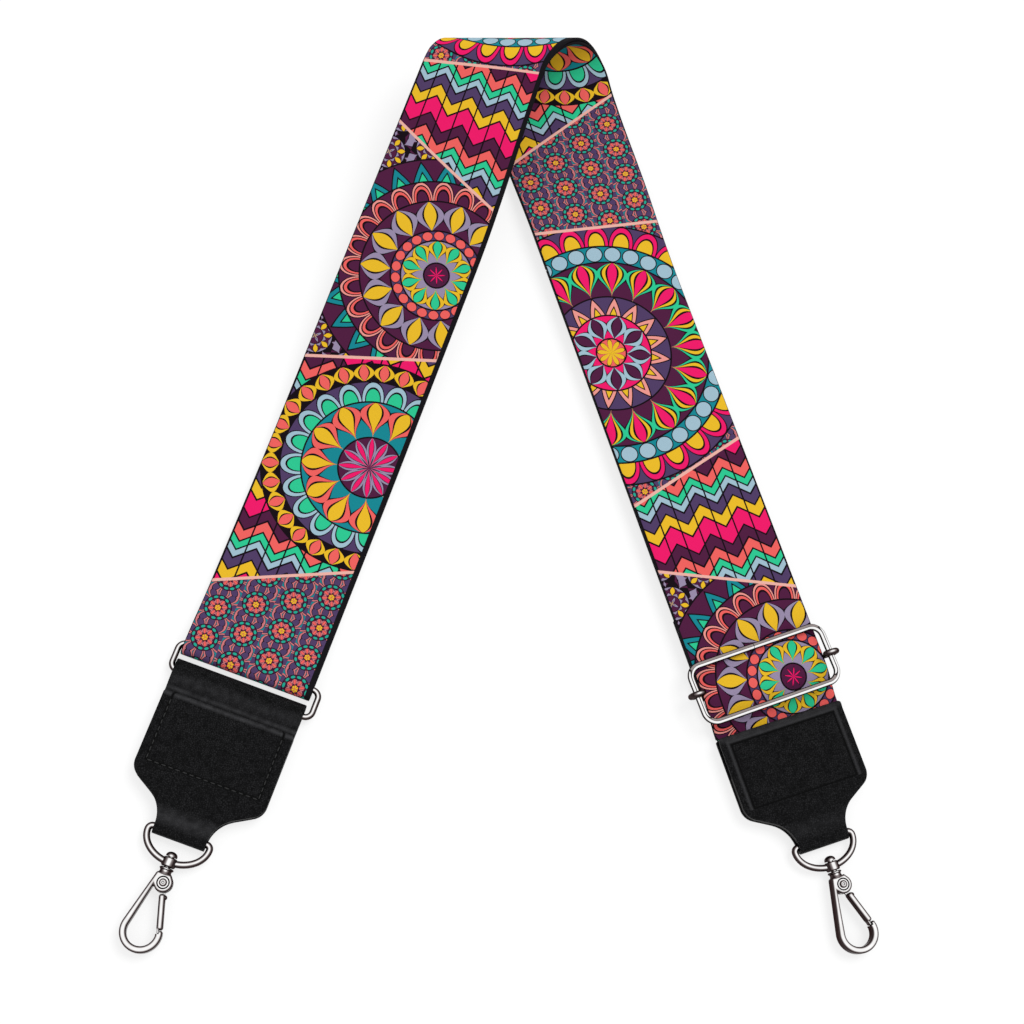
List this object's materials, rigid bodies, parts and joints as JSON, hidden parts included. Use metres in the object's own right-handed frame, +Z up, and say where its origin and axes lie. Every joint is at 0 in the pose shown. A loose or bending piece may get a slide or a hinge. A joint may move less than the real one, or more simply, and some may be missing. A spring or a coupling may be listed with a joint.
{
  "type": "detachable bag strap",
  "caption": "Detachable shoulder strap for a bag: printed webbing doubled through a wire slider and a ring, with leather end tabs and swivel snap hooks.",
  "frame": {"origin": "bottom centre of the bounding box, on the table the strap lies on", "axes": "+Z up from the table, +Y towards the bend, -Y towards the hooks, +X towards the leg with the slider"},
  "size_m": [0.2715, 0.3662, 0.027],
  "materials": {
    "webbing": "woven band with a printed face",
    "leather": "black, finely grained",
    "stiffener": "plain board inside the tabs",
    "nickel": "bright nickel plate",
    "spring_steel": "drawn wire"
  },
  "bodies": {
    "strap": {"webbing": "webbing", "webbing_return": "webbing", "right_tab": "leather", "right_tab_filler": "stiffener"},
    "slider_bar": {"slider_bar": "nickel", "webbing_tail": "webbing"},
    "slider_frame": {"slider_frame": "nickel"},
    "ring": {"ring": "nickel"},
    "left_tab": {"leather_loop": "leather", "left_tab": "leather", "left_tab_filler": "stiffener"},
    "left_bail": {"left_bail": "nickel"},
    "left_hook": {"left_hook": "nickel", "left_post": "nickel", "left_pin": "nickel", "left_gate_spring": "spring_steel"},
    "left_gate": {"left_gate": "nickel"},
    "right_bail": {"right_bail": "nickel"},
    "right_hook": {"right_hook": "nickel", "right_post": "nickel", "right_pin": "nickel", "right_gate_spring": "spring_steel"},
    "right_gate": {"right_gate": "nickel"}
  },
  "joints": [
    {"name": "slider_slide", "type": "slide", "parent": "strap", "child": "slider_bar", "axis": [-0.3239, 0.9461, 0], "range_m": [0, 0.15], "deforming": ["webbing_return"]},
    {"name": "slider_frame_shift", "type": "slide", "parent": "slider_bar", "child": "slider_frame", "axis": [-0.3239, 0.9461, 0], "range_m": [-0.004, 0.004]},
    {"name": "ring_turn", "type": "hinge", "parent": "strap", "child": "ring", "pos_m": [-0.0957, -0.08044, 0.00265], "axis": [0.9461, -0.3239, 0], "range_deg": [-40, 40]},
    {"name": "left_loop_turn", "type": "hinge", "parent": "ring", "child": "left_tab", "pos_m": [-0.09911, -0.09037, 0.00265], "axis": [0.9461, -0.3239, 0], "range_deg": [-60, 60]},
    {"name": "left_bail_swing", "type": "hinge", "parent": "left_tab", "child": "left_bail", "pos_m": [-0.11682, -0.14212, 0.00265], "axis": [0.9461, -0.3239, 0], "range_deg": [-75, 75]},
    {"name": "left_hook_swivel", "type": "hinge", "parent": "left_bail", "child": "left_hook", "pos_m": [-0.12013, -0.15177, 0.00265], "axis": [0.3239, 0.9461, 0], "continuous": true},
    {"name": "left_gate_open", "type": "hinge", "parent": "left_hook", "child": "left_gate", "pos_m": [-0.1217, -0.15895, 0.00265], "axis": [0, 0, -1], "range_deg": [0, 25], "stiffness_Nm_per_rad": 0.02, "springref_deg": -34.38, "deforming": ["left_gate_spring"]},
    {"name": "right_bail_swing", "type": "hinge", "parent": "strap", "child": "right_bail", "pos_m": [0.11678, -0.13911, 0.00265], "axis": [0.9461, 0.3239, 0], "range_deg": [-75, 75]},
    {"name": "right_hook_swivel", "type": "hinge", "parent": "right_bail", "child": "right_hook", "pos_m": [0.12008, -0.14876, 0.00265], "axis": [-0.3239, 0.9461, 0], "continuous": true},
    {"name": "right_gate_open", "type": "hinge", "parent": "right_hook", "child": "right_gate", "pos_m": [0.12324, -0.1554, 0.00265], "axis": [0, 0, -1], "range_deg": [0, 25], "stiffness_Nm_per_rad": 0.02, "springref_deg": -34.38, "deforming": ["right_gate_spring"]}
  ]
}
